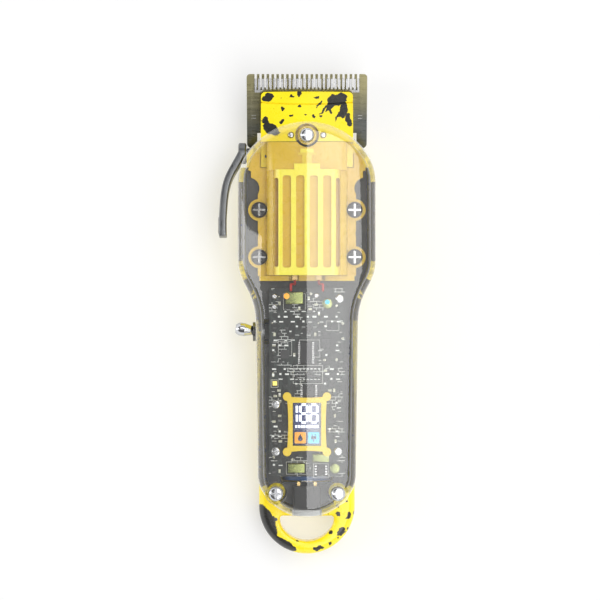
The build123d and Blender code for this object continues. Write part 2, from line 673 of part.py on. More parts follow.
def make_cutter_guide():
    """Slide behind the cutter: held by the taper cam's pin in an upright ear."""
    plate = box((-12.6, 12.6), (-25.4, -17.8), (0.1, 2.2))
    plate -= box((-9.0, 9.0), (-30, -22.5), (0, 3))
    plate += box((-12.0, -10.6), (-32.6, -24), (0.1, 2.2))
    plate += box((-12.0, -10.6), (-32.6, -25.9), (2.0, 9.0))
    lead = CAM_THROW * sin(radians(CAM_LEAD))
    s_cam = tips_to_blade(LEVER_Y - Y_TIPS, LEVER_Z - Z_TIPS)[0]
    middle = s_cam + lead
    plate -= box((-14, -9), (middle - 1.45, middle + 1.45), (4.6, 12))
    return on_blade(plate)


def tips_to_blade(dy, dz):
    """Turns an offset from the teeth's tips into S and T."""
    tilt = radians(BLADE_TILT)
    return (cos(tilt) * dy + sin(tilt) * dz, cos(tilt) * dz - sin(tilt) * dy)


def make_tension_spring():
    """Flat spring that holds the cutter down on the comb blade."""
    spring = box((-10.4, 10.4), (-24.6, -21.0), (2.2, 2.7))
    for side in (-1, 1):
        spring += box((side * 7.0 - 1.4, side * 7.0 + 1.4), (-21.5, -9.0), (2.2, 2.7))
        spring += box((side * 7.0 - 1.4, side * 7.0 + 1.4), (-9.5, -9.0), (1.28, 2.7))
    return on_blade(spring)


def make_taper_lever():
    """Bent arm outside the head, with its hub and the shaft that turns the cam."""
    points = [(-24.4, 66.5), (-27.0, 61.5), (-28.9, 58.0), (-30.3, 54.0), (-31.2, 48.0), (-31.6, 41.0)]
    spine = Spline(*points, (-31.5, 34.7))
    thick = 2.8
    profile = []
    for side in (-1, 1):
        profile.append(offset_side(spine, side * thick / 2))
    left, right = profile
    flat = make_face([left, Line(left @ 1, right @ 1), right, Line(right @ 0, left @ 0)])
    arm = extrude(flat, amount=20, both=True)
    side_view = capsule((LEVER_Y, 0), (36.0, 0), LEVER_R, 3.0, (-20, 20))
    side_view = Pos(-28, 0, 0) * (Plane.YZ.location * side_view)
    arm = arm & side_view
    arm = fillet(arm.edges().filter_by(lambda e: (e @ 0.5).Y < 64 and e.length > 12), 0.7)
    hub = pin_x((-25.8, -22.9), LEVER_Y, 0, LEVER_R)
    hub = chamfer(hub.edges().filter_by(GeomType.CIRCLE), 0.4)
    pad = box((-33.2, -31.8), (35.4, 42.0), (-2.2, 2.2))
    body = arm + hub + fillet(pad.edges().filter_by(Axis.Z), 0.6)
    turned = Pos(0, LEVER_Y, LEVER_Z) * Rot(-LEVER_RISE, 0, 0) * Pos(0, -LEVER_Y, 0) * body
    turned += pin_x((-23.0, -13.0), LEVER_Y, LEVER_Z, LEVER_SHAFT)
    turned -= pin_x((-30, -24.4), LEVER_Y, LEVER_Z, 2.3)
    turned -= pin_x((-30, -17.0), LEVER_Y, LEVER_Z, 0.9)
    return turned


def offset_side(spine, distance):
    """A smooth line beside the arm's spine."""
    places = []
    for k in range(7):
        at, tangent = spine @ (k / 6), spine % (k / 6)
        places.append((at.X - tangent.Y * distance, at.Y + tangent.X * distance))
    return Spline(*places)


def make_lever_cam():
    """Crank on the lever's shaft; its pin moves the cutter slide."""
    turn = radians(BLADE_TILT - CAM_LEAD)
    reach = CAM_THROW
    link = capsule((0, 0), (0, reach), 2.9, 1.9, (-0.4, 0.4))
    link += Pos(0, reach, 1.4) * Cylinder(1.2, 3.0)
    link -= Cylinder(1.3, 5)
    upright = Plane(origin=(-12.9 + 0.4, LEVER_Y, LEVER_Z), x_dir=(0, 1, 0), z_dir=(1, 0, 0))
    return upright.location * (Rot(0, 0, degrees(turn)) * link)


def make_lever_screw():
    """Chromed shoulder screw through the lever's hub into its shaft."""
    head = pin_x((-25.6, -24.4), LEVER_Y, LEVER_Z, 2.2)
    head -= box((-26, -25.1), (LEVER_Y - 1.6, LEVER_Y + 1.6), (LEVER_Z - 0.35, LEVER_Z + 0.35))
    return head + pin_x((-24.5, -17.0), LEVER_Y, LEVER_Z, 0.9)


def make_lever_washer():
    ring = pin_x((-22.85, -22.62), LEVER_Y, LEVER_Z, 3.4)
    return ring - pin_x((-24, -22), LEVER_Y, LEVER_Z, 2.06)


def toggle_at(shape):
    """Places a shape drawn along +Z from the pivot on the switch's slightly raised axis."""
    x, y, z = TOGGLE
    return Pos(x, y, z) * Rot(0, 0, -TOGGLE_TILT) * Rot(0, -90, 0) * shape


def make_power_toggle():
    """Chromed bat-handle lever with a ball at its pivot."""
    bat = Pos(0, 0, 4.2) * Cone(1.5, 2.5, 4.4) + Pos(0, 0, 7.0) * Cylinder(2.5, 1.6)
    tip = Pos(0, 0, 7.6) * Sphere(2.5) & Pos(0, 0, 8.6) * Box(8, 8, 2.0)
    bat += tip
    bat -= Pos(0, 0, 9.6) * Cylinder(0.9, 1.0)
    trunnion = post(TOGGLE[0], TOGGLE[1], (TOGGLE[2] - 2.1, TOGGLE[2] + 2.1), 0.6)
    return toggle_at(bat + Sphere(2.0) + Pos(0, 0, 1.4) * Cylinder(1.5, 2.8)) + trunnion


def make_switch_collar():
    """Dark threaded collar in the side wall; its wide mouth lets the lever tilt."""
    _, y, z = TOGGLE
    collar = pin_x((-20.0, -15.9), y, z, 3.0) + pin_x((-20.4, -19.1), y, z, 3.6)
    mouth = Pos(-18.6, y, z) * Rot(0, -90, 0) * Cone(2.1, 3.3, 3.7)
    return collar - mouth - pin_x((-18.6, -15), y, z, 2.14)


def make_switch_body():
    _, y, z = TOGGLE
    body = box((-15.9, -10.4), (y - 3.4, y + 3.4), (z - 3.2, z + 3.2))
    body = chamfer(body.edges().filter_by(Axis.X), 0.6)
    body -= pin_x((-16.5, -14.6), y, z, 2.2)
    for k in range(3):
        leg = (y - 2.2 + 2.2 * k - 0.35, y - 2.2 + 2.2 * k + 0.35)
        body += box((-10.5, -10.0), leg, (z + 0.5, z + 2.5))
    return body


def mark_pockets():
    """Two small pockets in the side wall that show which way the switch is on."""
    z = TOGGLE[2]
    return [box((-20, -18.2), (y - r, y + r), (z - r, z + r)) for y, r in ((-7.1, 0.55), (-8.9, 0.3))]


def make_power_mark():
    """Dark inlays that fill the pockets."""
    skin = extrude(outline(), amount=Z_SPLIT)
    return group([pocket & skin for pocket in mark_pockets()])


def chip(x, y, size, height, z=PCB_TOP):
    """A block on the board, by its middle and its plan size."""
    return box((x - size[0] / 2, x + size[0] / 2), (y - size[1] / 2, y + size[1] / 2), (z, z + height))


def make_pcb():
    board = box((-PCB_W, PCB_W), PCB_Y, (PCB_Z, PCB_TOP))
    board = fillet(board.edges().filter_by(Axis.Z), 1.2)
    for x, y in PCB_SCREWS:
        board -= post(x, y, (15, 30), 1.1)
    for x in (-3.1, 3.1):
        board -= post(x, -53.6, (15, 30), 0.35)
    return board


def make_pcb_screws():
    return group([cross_screw(x, y, PCB_TOP, 1.7, 1.0, 0.85, 3.4) for x, y in PCB_SCREWS])


def make_pcb_posts():
    """Small soldered test posts beside the motor end."""
    posts = [post(x, y, (PCB_TOP, PCB_TOP + 2.2), 0.9) for x, y in TEST_POSTS]
    return group([chamfer(p.edges().group_by(Axis.Z)[-1], 0.25) for p in posts])


def make_pcb_ics():
    chips = []
    for x, y, w, h in (IC_MAIN, IC_DRIVER, IC_CHARGER):
        body = chip(x, y, (w, h), 1.2)
        body = chamfer(body.edges().group_by(Axis.Z)[-1], 0.2)
        body -= post(x - w / 2 + 0.8, y + h / 2 - 0.8, (PCB_TOP + 1.1, 30), 0.3)
        chips.append(body)
    return group(chips)


def make_pcb_pins():
    """Gull-wing pins in rows down both sides of the chips."""
    pins = []
    for (x, y, w, h), count in ((IC_MAIN, 12), (IC_DRIVER, 7), (IC_CHARGER, 4)):
        pitch = (h - 0.6) / (count - 1)
        for side in (-1, 1):
            for k in range(count):
                y_pin = y - h / 2 + 0.3 + k * pitch
                x_pin = x + side * (w / 2 + 0.4)
                pins.append(chip(x_pin, y_pin, (0.8, pitch * 0.45), 0.35))
    return group(pins)


def make_pcb_capacitors():
    """Square cans with rounded shoulders, and upright round ones."""
    caps = [chip(x, y, (w, h), 2.6) for x, y, w, h in CANS]
    caps = [fillet(c.edges().group_by(Axis.Z)[-1], 0.5) for c in caps]
    for x, y, r in ROUND_CANS:
        can = post(x, y, (PCB_TOP, PCB_TOP + 3.4), r)
        caps.append(fillet(can.edges().group_by(Axis.Z)[-1], 0.5))
    return group(caps)


def taken_spots():
    """Plan boxes on the board that the larger pieces cover: low X, high X, low Y, high Y."""
    spots = [(x - w / 2 - 1.0, x + w / 2 + 1.0, y - h / 2 - 0.3, y + h / 2 + 0.3)
             for x, y, w, h in (IC_MAIN, IC_DRIVER, IC_CHARGER, *CANS)]
    rounds = [(x, y, 2.2) for x, y in PCB_SCREWS] + [(x, y, 1.2) for x, y in TEST_POSTS]
    rounds += [(x, y, r + 0.3) for x, y, r in ROUND_CANS] + [(x, y, 1.9) for x, y in COILS]
    rounds += [(*LED, 1.2), (6.0, 14.8, 1.0), (-6.0, 14.8, 1.0)]
    spots += [(x - r, x + r, y - r, y + r) for x, y, r in rounds]
    spots.append((DISPLAY[0] - 9.0, DISPLAY[0] + 9.0, DISPLAY[1] - 11.8, DISPLAY[1] + 11.8))
    spots.append((-4.6, 5.2, -19.2, -13.8))
    return spots


def crosses(one, two):
    """True where two spots on the board, each low X, high X, low Y, high Y, share some ground."""
    along_x = one[0] < two[1] and two[0] < one[1]
    along_y = one[2] < two[3] and two[2] < one[3]
    return along_x and along_y


def scatter(sizes, step, shift, taken):
    """Rows of small chips wherever the board has room; each one placed is added to taken."""
    placed = []
    rows = int((PCB_Y[1] - PCB_Y[0] - 2.4) / step)
    columns = int((2 * PCB_W - 2.4) / step)
    for row in range(rows):
        for column in range(columns):
            number = (row * 7 + column * 3 + shift) % 5
            if number > 2:
                continue
            w, h = sizes if number < 2 else sizes[::-1]
            x = -PCB_W + 1.2 + w / 2 + column * step + 0.25 * ((row + shift) % 3)
            y = PCB_Y[0] + 1.2 + h / 2 + row * step + 0.2 * ((column + shift) % 2)
            spot = (x - w / 2 - 0.2, x + w / 2 + 0.2, y - h / 2 - 0.2, y + h / 2 + 0.2)
            off_board = spot[1] > PCB_W - 0.6 or spot[3] > PCB_Y[1] - 0.6
            hit = any(crosses(spot, other) for other in taken)
            if not hit and not off_board:
                placed.append((x, y, w, h))
                taken.append(spot)
    return placed


TAKEN = taken_spots()
RESISTOR_SPOTS = scatter((1.5, 0.8), 2.15, 0, TAKEN)
CAPACITOR_SPOTS = scatter((0.8, 1.3), 1.9, 2, TAKEN)


def make_pcb_resistors():
    """Chip resistors: a regular array below the main chip and loose ones where there is room."""
    parts = [chip(-3.9 + 1.4 * c, -14.4 - 1.4 * r, (0.9, 0.6), 0.4) for r in range(4) for c in range(7)]
    parts += [chip(x, y, (w, h), 0.5) for x, y, w, h in RESISTOR_SPOTS]
    return group(parts)


def make_pcb_smd_capacitors():
    return group([chip(x, y, (w, h), 0.75) for x, y, w, h in CAPACITOR_SPOTS])


def make_pcb_inductors():
    parts = []
    for x, y in COILS:
        coil = chip(x, y, (3.2, 3.2), 1.8)
        coil = fillet(coil.edges().filter_by(Axis.Z), 0.7)
        recess = post(x, y, (PCB_TOP + 1.4, 40), 1.0)
        core = post(x, y, (PCB_TOP + 1.2, PCB_TOP + 1.7), 0.8)
        parts.append(coil - recess + core)
    return group(parts)


def make_status_led():
    return chip(*LED, (1.6, 1.6), 0.6) + post(*LED, (PCB_TOP, PCB_TOP + 1.0), 0.6)


def display_outline(half_x, half_y, lobe, hollow):
    """A four-lobed plate whose four sides curve in by the depth of the hollow."""
    corner_x, corner_y = half_x - 0.1, half_y - 0.1
    top = ThreePointArc((-corner_x, half_y), (0, half_y - hollow), (corner_x, half_y))
    right = ThreePointArc((half_x, corner_y), (half_x - hollow, 0), (half_x, -corner_y))
    bottom = ThreePointArc((corner_x, -half_y), (0, hollow - half_y), (-corner_x, -half_y))
    left = ThreePointArc((-half_x, -corner_y), (hollow - half_x, 0), (-half_x, corner_y))
    links = [Line(top @ 1, right @ 0), Line(right @ 1, bottom @ 0)]
    links += [Line(bottom @ 1, left @ 0), Line(left @ 1, top @ 0)]
    plate = make_face([top, right, bottom, left] + links)
    for side_x in (-1, 1):
        for side_y in (-1, 1):
            plate += Pos(side_x * corner_x, side_y * corner_y) * Circle(lobe)
    return Pos(*DISPLAY) * plate


def make_display_bezel():
    """Yellow frame round the battery display."""
    plate = display_outline(7.5, 10.4, 1.6, 0.5)
    body = Pos(0, 0, 26.4) * extrude(plate, amount=1.35)
    body += Pos(0, 0, 27.7) * extrude(display_outline(7.3, 10.2, 1.4, 0.5), amount=0.3)
    skirt = Pos(DISPLAY[0], DISPLAY[1], 24.9) * Box(13.4, 19.0, 3.8)
    body += skirt - box((-6.0, 6.0), (-44, -26), (20, 30))
    return body - Pos(DISPLAY[0], DISPLAY[1], 26) * Box(10.6, 16.1, 8)


def make_display_module():
    base = Pos(DISPLAY[0], DISPLAY[1], 23.9) * Box(10.4, 15.9, 1.8)
    return base + Pos(DISPLAY[0], DISPLAY[1], 25.4) * Box(9.8, 15.3, 1.3)


def segment_bar(x, y, w, h):
    """One lit bar of the display, flat on the module."""
    return box((x - w / 2, x + w / 2), (y - h / 2, y + h / 2), (DISPLAY_TOP, DISPLAY_TOP + 0.12))


def make_display_digits():
    """Three seven-segment figures that read full charge."""
    bars = []
    centre, tall, wide, thick = -31.1, 6.7, 2.5, 0.85
    last, pitch = 2.6, 3.8
    for k, lit in enumerate(("bc", "abcdefg", "abcdefg")):
        x = last - pitch * (2 - k)
        half, reach = wide / 2, tall / 2
        places = {
            "a": (x, centre + reach, wide - thick, thick),
            "d": (x, centre - reach, wide - thick, thick),
            "g": (x, centre, wide - thick, thick),
            "b": (x + half, centre + reach / 2, thick, reach - thick),
            "c": (x + half, centre - reach / 2, thick, reach - thick),
            "e": (x - half, centre - reach / 2, thick, reach - thick),
            "f": (x - half, centre + reach / 2, thick, reach - thick),
        }
        bars += [segment_bar(*places[name]) for name in lit]
    return group(bars)


def make_display_gauge():
    """A row of small charge marks under the figures."""
    return group([segment_bar(-4.0 + 1.0 * k, -35.9, 0.7, 1.0) for k in range(9)])


def icon_tile(x):
    """A rounded tile for one display symbol."""
    tile = segment_bar(x, -40.1, 4.2, 4.2)
    return fillet(tile.edges().filter_by(Axis.Z), 0.4)


def make_oil_icon():
    """Orange tile with a drop cut out of it."""
    drop = Circle(0.9) + make_face(Polyline((-0.8, 0.4), (0.8, 0.4), (0, 1.9), close=True))
    return icon_tile(-2.5) - Pos(-2.5, -40.5, 26) * extrude(drop, amount=1)


def make_plug_icon():
    """Blue tile with a plug cut out of it."""
    plug = Rectangle(2.0, 1.2) + Pos(0, -1.0) * Rectangle(0.4, 1.0)
    plug += Pos(-0.55, 0.9) * Rectangle(0.35, 0.9) + Pos(0.55, 0.9) * Rectangle(0.35, 0.9)
    return icon_tile(2.5) - Pos(2.5, -40.1, 26) * extrude(plug, amount=1)


def make_display_window():
    pane = Pos(DISPLAY[0], DISPLAY[1], 26.85) * Box(10.5, 16.0, 0.7)
    return pane


def make_battery_cell():
    cell = bar(BATTERY_Y, BATTERY_R, z=BATTERY_Z)
    cell = fillet(cell.edges().filter_by(GeomType.CIRCLE), 0.7)
    return cell + bar((BATTERY_Y[1] - 0.1, BATTERY_Y[1] + 0.5), 2.8, z=BATTERY_Z)


def make_battery_tabs():
    front = bar((BATTERY_Y[1] + 0.5, BATTERY_Y[1] + 0.7), 2.6, z=BATTERY_Z)
    front += box((-2.0, 2.0), (BATTERY_Y[1] + 0.5, BATTERY_Y[1] + 0.7), (BATTERY_Z, 20.8))
    back = box((-2.0, 2.0), (BATTERY_Y[0] - 0.2, BATTERY_Y[0]), (BATTERY_Z - 3, 20.8))
    return group([front, back])


def make_battery_rails():
    """Two ribbed rails that the cell lies between."""
    ribs = []
    for y in (-48.0, -28.0, -8.0):
        rib = box((-13.5, 13.5), (y - 1.2, y + 1.2), (2.6, 9.0)) & tub_solid(2.3, BACK_EDGE - 2.3, Z_SPLIT)
        ribs.append(rib - bar((-60, 12), BATTERY_R + 0.02, z=BATTERY_Z))
    spine = [box((side * 10.6 - 0.8, side * 10.6 + 0.8), (-48, -8), (2.6, 4.2)) for side in (-1, 1)]
    body = ribs[0] + ribs[1] + ribs[2] + spine[0] + spine[1]
    return body - bar((-60, 12), BATTERY_R + 0.02, z=BATTERY_Z)


def make_charge_socket():
    """Dark socket block behind the end wall."""
    block = box((-5.2, 5.2), (-67.2, -58.3), (20.0, 25.0))
    block = fillet(block.edges().filter_by(Axis.Y), 0.8)
    mouth = box((-4.2, 4.2), (-70, -60.5), (21.2, 23.9))
    return block - fillet(mouth.edges().filter_by(Axis.Y), 1.2)


def make_charge_pins():
    blade = box((-3.4, 3.4), (-66.2, -60.5), (22.25, 22.85))
    pads = []
    for x in (-3.1, 3.1):
        tail = box((x - 0.5, x + 0.5), (-58.3, -57.3), (22.6, 23.0))
        pads.append(post(x, -57.3, (22.6, 23.2), 0.65) + tail)
    return group([blade, *pads])


def make_socket_plate():
    """Grey escutcheon round the socket's mouth."""
    plate = box((-5.5, 5.5), (-69.3, -67.2), (19.9, 25.1))
    plate = fillet(plate.edges().filter_by(Axis.Y), 1.1)
    mouth = box((-4.4, 4.4), (-70, -60.5), (21.0, 24.1))
    return plate - fillet(mouth.edges().filter_by(Axis.Y), 1.3)


def lead(points, radius, thick):
    """An insulated wire along straight runs joined by arcs."""
    path = FilletPolyline(*points, radius=radius)
    start = Plane(origin=path @ 0, z_dir=path % 0)
    return sweep(start * Circle(thick), path=path)


def make_motor_leads():
    leads = []
    for side in (-1, 1):
        inner, outer = side * 4.5, side * 6.0
        points = [(inner, 18.75, 20.4), (inner, 17.2, 20.4), (outer, 17.2, 24.2), (outer, 14.8, 24.2)]
        points.append((outer, 14.8, PCB_TOP))
        leads.append(lead(points, 0.55, 0.45))
    return group(leads)


def make_battery_leads():
    leads = []
    for side in (-1, 1):
        points = [(side * 1.2, BATTERY_Y[1] + 0.7, 19.2), (side * 1.2, 12.0, 19.2), (side * 1.2, 12.0, PCB_Z)]
        leads.append(lead(points, 0.8, 0.4))
    return group(leads)


NODES = {
    "rear_housing": make_rear_housing, "front_cover": make_front_cover, "head_cover": make_head_cover,
    "drive_bridge": make_drive_bridge, "cover_inserts": make_cover_inserts, "cover_screws": make_cover_screws,
    "head_screws": make_head_screws, "mid_chassis": make_mid_chassis, "motor_cage": make_motor_cage,
    "cage_screws": make_cage_screws, "motor_can": make_motor_can, "motor_end_cap": make_motor_end_cap,
    "motor_terminals": make_motor_terminals, "motor_bush": make_motor_bush, "rotor_core": make_rotor_core,
    "motor_shaft": make_motor_shaft, "eccentric_hub": make_eccentric_hub,
    "eccentric_roller": make_eccentric_roller, "drive_arm": make_drive_arm, "arm_bushing": make_arm_bushing,
    "arm_pivot_pin": make_arm_pivot_pin, "fixed_blade": make_fixed_blade, "blade_screws": make_blade_screws,
    "moving_blade": make_moving_blade, "blade_driver": make_blade_driver, "cutter_guide": make_cutter_guide,
    "tension_spring": make_tension_spring, "taper_lever": make_taper_lever, "lever_cam": make_lever_cam,
    "lever_screw": make_lever_screw, "lever_washer": make_lever_washer, "power_toggle": make_power_toggle,
    "switch_collar": make_switch_collar, "switch_body": make_switch_body, "power_mark": make_power_mark,
    "pcb": make_pcb, "pcb_screws": make_pcb_screws, "pcb_posts": make_pcb_posts, "pcb_ics": make_pcb_ics,
    "pcb_pins": make_pcb_pins, "pcb_capacitors": make_pcb_capacitors, "pcb_resistors": make_pcb_resistors,
    "pcb_smd_capacitors": make_pcb_smd_capacitors, "pcb_inductors": make_pcb_inductors,
    "status_led": make_status_led, "display_bezel": make_display_bezel, "display_module": make_display_module,
    "display_digits": make_display_digits, "display_gauge": make_display_gauge, "oil_icon": make_oil_icon,
    "plug_icon": make_plug_icon, "display_window": make_display_window, "battery_cell": make_battery_cell,
    "battery_tabs": make_battery_tabs, "battery_rails": make_battery_rails,
    "charge_socket": make_charge_socket, "charge_pins": make_charge_pins, "socket_plate": make_socket_plate,
    "motor_leads": make_motor_leads, "battery_leads": make_battery_leads,
}

os.makedirs("parts", exist_ok=True)
for name, make in NODES.items():
    export_step(make(), f"parts/{name}.step")
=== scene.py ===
"""The looks of a cordless hair clipper with a clear front, lying on its back on a pale floor."""

import json
import math

import bmesh
import bpy
from mathutils import Matrix, Vector
from mathutils.bvhtree import BVHTree


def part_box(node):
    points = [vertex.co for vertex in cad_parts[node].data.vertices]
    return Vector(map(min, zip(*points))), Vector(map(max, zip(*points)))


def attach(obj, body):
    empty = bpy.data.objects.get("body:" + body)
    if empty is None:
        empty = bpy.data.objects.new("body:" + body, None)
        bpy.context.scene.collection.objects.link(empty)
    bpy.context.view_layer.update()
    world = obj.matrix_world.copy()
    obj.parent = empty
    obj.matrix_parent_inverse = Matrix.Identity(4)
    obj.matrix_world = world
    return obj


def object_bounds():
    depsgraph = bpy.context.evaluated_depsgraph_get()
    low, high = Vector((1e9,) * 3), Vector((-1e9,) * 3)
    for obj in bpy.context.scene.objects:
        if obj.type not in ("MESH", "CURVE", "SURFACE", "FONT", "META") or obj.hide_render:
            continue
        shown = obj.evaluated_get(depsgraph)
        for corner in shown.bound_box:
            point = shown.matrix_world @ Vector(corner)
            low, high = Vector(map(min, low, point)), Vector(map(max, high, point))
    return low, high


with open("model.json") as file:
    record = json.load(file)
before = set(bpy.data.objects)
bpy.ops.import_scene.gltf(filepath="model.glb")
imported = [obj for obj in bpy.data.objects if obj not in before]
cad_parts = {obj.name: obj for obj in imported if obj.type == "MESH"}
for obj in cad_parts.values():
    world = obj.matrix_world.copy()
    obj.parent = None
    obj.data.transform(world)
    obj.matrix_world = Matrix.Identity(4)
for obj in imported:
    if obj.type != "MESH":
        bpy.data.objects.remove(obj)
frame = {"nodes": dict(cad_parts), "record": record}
cad_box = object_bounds()
NODES = frame["nodes"]

MM = 0.001
CAMERA_LENS = 160.0
SENSOR = 36.0
VIEW_WIDTH = 0.225
VIEW_CENTRE = (-2.6 * MM, 11.25 * MM)
SMOOTH_ANGLE = math.radians(32)
WALL_TOP = 0.42  # sine of the elevation where the bright walls end
CEILING = 0.7  # sine of the elevation where the dark ceiling begins
WALL_LIGHT = 1.2
CEILING_LIGHT = 0.12
WALL_IOR = 1.75  # a clear wall's outer face carries the gloss of both its faces
FLOOR_GLOW = 0.42  # the floor is a lit white table, so colour thrown on it stays faint
RIB_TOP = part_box("motor_cage")[1].z - 0.5 * MM
GROOVE_FLOOR = RIB_TOP - 1.1 * MM
FLOOR_HALF = 3.0
FLOOR_GAP = 0.0002  # the floor lies this far below the clipper
FOCUS_HEIGHT = 0.02  # the view is VIEW_WIDTH wide at this height
# Lamps: name, place, width and length, power in watts, aim
LAMPS = [
    ("right_softbox", (0.40, 0.0, 1.15), (0.80, 1.6), 12.5, (0.40, 0.0, 0.0)),
    ("left_strip", (-0.9, 0.1, 0.55), (0.25, 1.2), 3.0, (0.0, 0.0, 0.0)),
]

# Printed outlines on the board, in millimetres: distance below its front edge, middle X, width, height
LEGEND_BOXES = [
    (32.2, 0.35, 11.0, 6.8), (5.0, -4.7, 8.2, 6.0), (22.5, 1.0, 7.6, 6.4), (22.5, -8.2, 5.0, 5.4),
    (68.2, 5.2, 5.6, 5.2), (67.2, -3.9, 7.6, 4.6), (35.6, -12.1, 2.6, 2.8), (14.0, 9.6, 4.6, 3.6),
]
# The board's rows of short marks: how many, the first one's distance below the front edge, the step
# from row to row, and how far out from the middle line they start
LEGEND_ROWS = 16
LEGEND_FIRST = 9.0
LEGEND_STEP = 3.7
LEGEND_MARGIN = 11.9
PRINT_DEPTH = (-0.02, 0.04)  # printed marks start just inside the board and stand just proud of it
# Crosses in the cage screws: radius of a head, reach of an arm, half its width, and its bottom and top
SCREW_RADIUS = 3.0
CROSS_REACH = 2.35
CROSS_HALF = 0.375
CROSS_DEPTH = (-0.6, 0.06)
# Setting marks on the comb blade: in from its side, back from its tips, half sizes, and bottom and top
MARK_INSET = 2.4
MARK_BACK = 15.2
MARK_HALF = (1.0, 0.12)
MARK_DEPTH = (-0.02, 0.03)
# Dots on the board: name, X, distance below its front edge, radius, finish
DOTS = [("orange_dot", -7.6, 2.9, 1.1, "icon_orange"), ("cyan_dot", 7.6, 5.1, 0.9, "icon_blue")]


class Nodes:
    """Short calls for building one material's node tree."""

    def __init__(self, name, tree=None):
        """A new material of this name, or the world's tree where one is given."""
        self.tree = tree
        if tree is None:
            self.material = bpy.data.materials.new(name)
            self.material.use_nodes = True
            self.tree = self.material.node_tree
            self.tree.nodes.clear()
            self.out = self.add("ShaderNodeOutputMaterial")
        self.place = self.add("ShaderNodeTexCoord").outputs["Object"]

    def add(self, kind, **values):
        """A new node, with its properties set."""
        node = self.tree.nodes.new(kind)
        for key, value in values.items():
            setattr(node, key, value)
        return node

    def put(self, socket, value):
        """Sets a socket to a number or colour, or links it to another socket."""
        if isinstance(value, bpy.types.NodeSocket):
            self.tree.links.new(value, socket)
        elif isinstance(value, (tuple, list)) and len(value) == 3 and socket.type == "RGBA":
            socket.default_value = (*value, 1.0)
        else:
            socket.default_value = value

    def math(self, operation, a, b=0.0):
        """One maths step on numbers or sockets."""
        node = self.add("ShaderNodeMath", operation=operation)
        for socket, value in zip(node.inputs, (a, b)):
            self.put(socket, value)
        return node.outputs[0]

    def vector(self, operation, a, b=(0.0, 0.0, 0.0), scale=1.0):
        """One vector maths step."""
        node = self.add("ShaderNodeVectorMath", operation=operation)
        self.put(node.inputs[0], a)
        self.put(node.inputs[1], b)
        if operation == "SCALE":
            node.inputs["Scale"].default_value = scale
        return node.outputs["Value" if operation in ("LENGTH", "DISTANCE", "DOT_PRODUCT") else "Vector"]

    def parts(self, vector=None):
        """The X, Y and Z of a place, the object's own by default."""
        node = self.add("ShaderNodeSeparateXYZ")
        self.put(node.inputs[0], self.place if vector is None else vector)
        return node.outputs

    def stretch(self, scale):
        """The object's own place, scaled along each axis."""
        return self.vector("MULTIPLY", self.place, scale)

    def noise(self, scale, detail=3.0, rough=0.55, vector=None, output=0):
        """Soft noise at a scale in repeats per metre."""
        node = self.add("ShaderNodeTexNoise")
        self.put(node.inputs["Vector"], self.place if vector is None else vector)
        node.inputs["Scale"].default_value = scale
        node.inputs["Detail"].default_value = detail
        node.inputs["Roughness"].default_value = rough
        return node.outputs[output]

    def voronoi(self, scale, feature="F1", vector=None, spread=1.0):
        """A cell pattern at a scale in repeats per metre."""
        node = self.add("ShaderNodeTexVoronoi", feature=feature)
        self.put(node.inputs["Vector"], self.place if vector is None else vector)
        node.inputs["Scale"].default_value = scale
        node.inputs["Randomness"].default_value = spread
        return node

    def ramp(self, value, low, high, first=0.0, last=1.0):
        """Maps low..high to first..last, and holds it there beyond."""
        node = self.add("ShaderNodeMapRange")
        for socket, number in zip(node.inputs, (value, low, high, first, last)):
            self.put(socket, number)
        return node.outputs[0]

    def mix(self, factor, a, b):
        """A blend of two colours."""
        node = self.add("ShaderNodeMix", data_type="RGBA")
        self.put(node.inputs[0], factor)
        self.put(node.inputs[6], a)
        self.put(node.inputs[7], b)
        return node.outputs[2]

    def bump(self, height, strength, distance=0.0001):
        """A surface normal from a height."""
        node = self.add("ShaderNodeBump")
        node.inputs["Strength"].default_value = strength
        node.inputs["Distance"].default_value = distance
        self.put(node.inputs["Height"], height)
        return node.outputs[0]

    def principled(self, **values):
        """A shader, with its inputs named with underscores for spaces."""
        node = self.add("ShaderNodeBsdfPrincipled")
        for key, value in values.items():
            self.put(node.inputs[key.replace("_", " ")], value)
        return node.outputs[0]

    def finish(self, shader):
        """Wires the shader to the output and gives the material."""
        self.tree.links.new(shader, self.out.inputs["Surface"])
        return self.material


def moulded(name, colour, rough=0.45, grain=2600.0, coat=0.0, dark=0.82, bump=0.12):
    """Moulded plastic: a fine spark-eroded grain, faint flow shading and uneven gloss."""
    n = Nodes(name)
    flow = n.noise(70.0, 4.0)
    fine = n.noise(grain, 2.0)
    deep = tuple(c * dark for c in colour)
    tint = n.mix(n.ramp(flow, 0.35, 0.7), deep, colour)
    gloss = n.ramp(n.noise(420.0, 3.0), 0.3, 0.7, rough * 0.85, rough * 1.15)
    shader = n.principled(Base_Color=tint, Roughness=gloss, Coat_Weight=coat, Coat_Roughness=0.08,
                          Normal=n.bump(fine, bump, 0.00005))
    return n.finish(shader)


def metal(name, colour, rough, lines=(1.0, 1.0, 1.0), depth=0.15, worn=0.75, metallic=1.0):
    """Metal with fine lines: lines stretches the texture along the brushing."""
    n = Nodes(name)
    brushed = n.noise(900.0, 4.0, 0.7, n.stretch(lines))
    cloud = n.noise(55.0, 3.0)
    tint = n.mix(n.ramp(brushed, 0.3, 0.75), tuple(c * worn for c in colour), colour)
    gloss = n.ramp(n.math("ADD", brushed, cloud), 0.7, 1.3, rough * 0.7, rough * 1.35)
    shader = n.principled(Base_Color=tint, Metallic=metallic, Roughness=gloss,
                          Normal=n.bump(brushed, depth, 0.00004))
    return n.finish(shader)


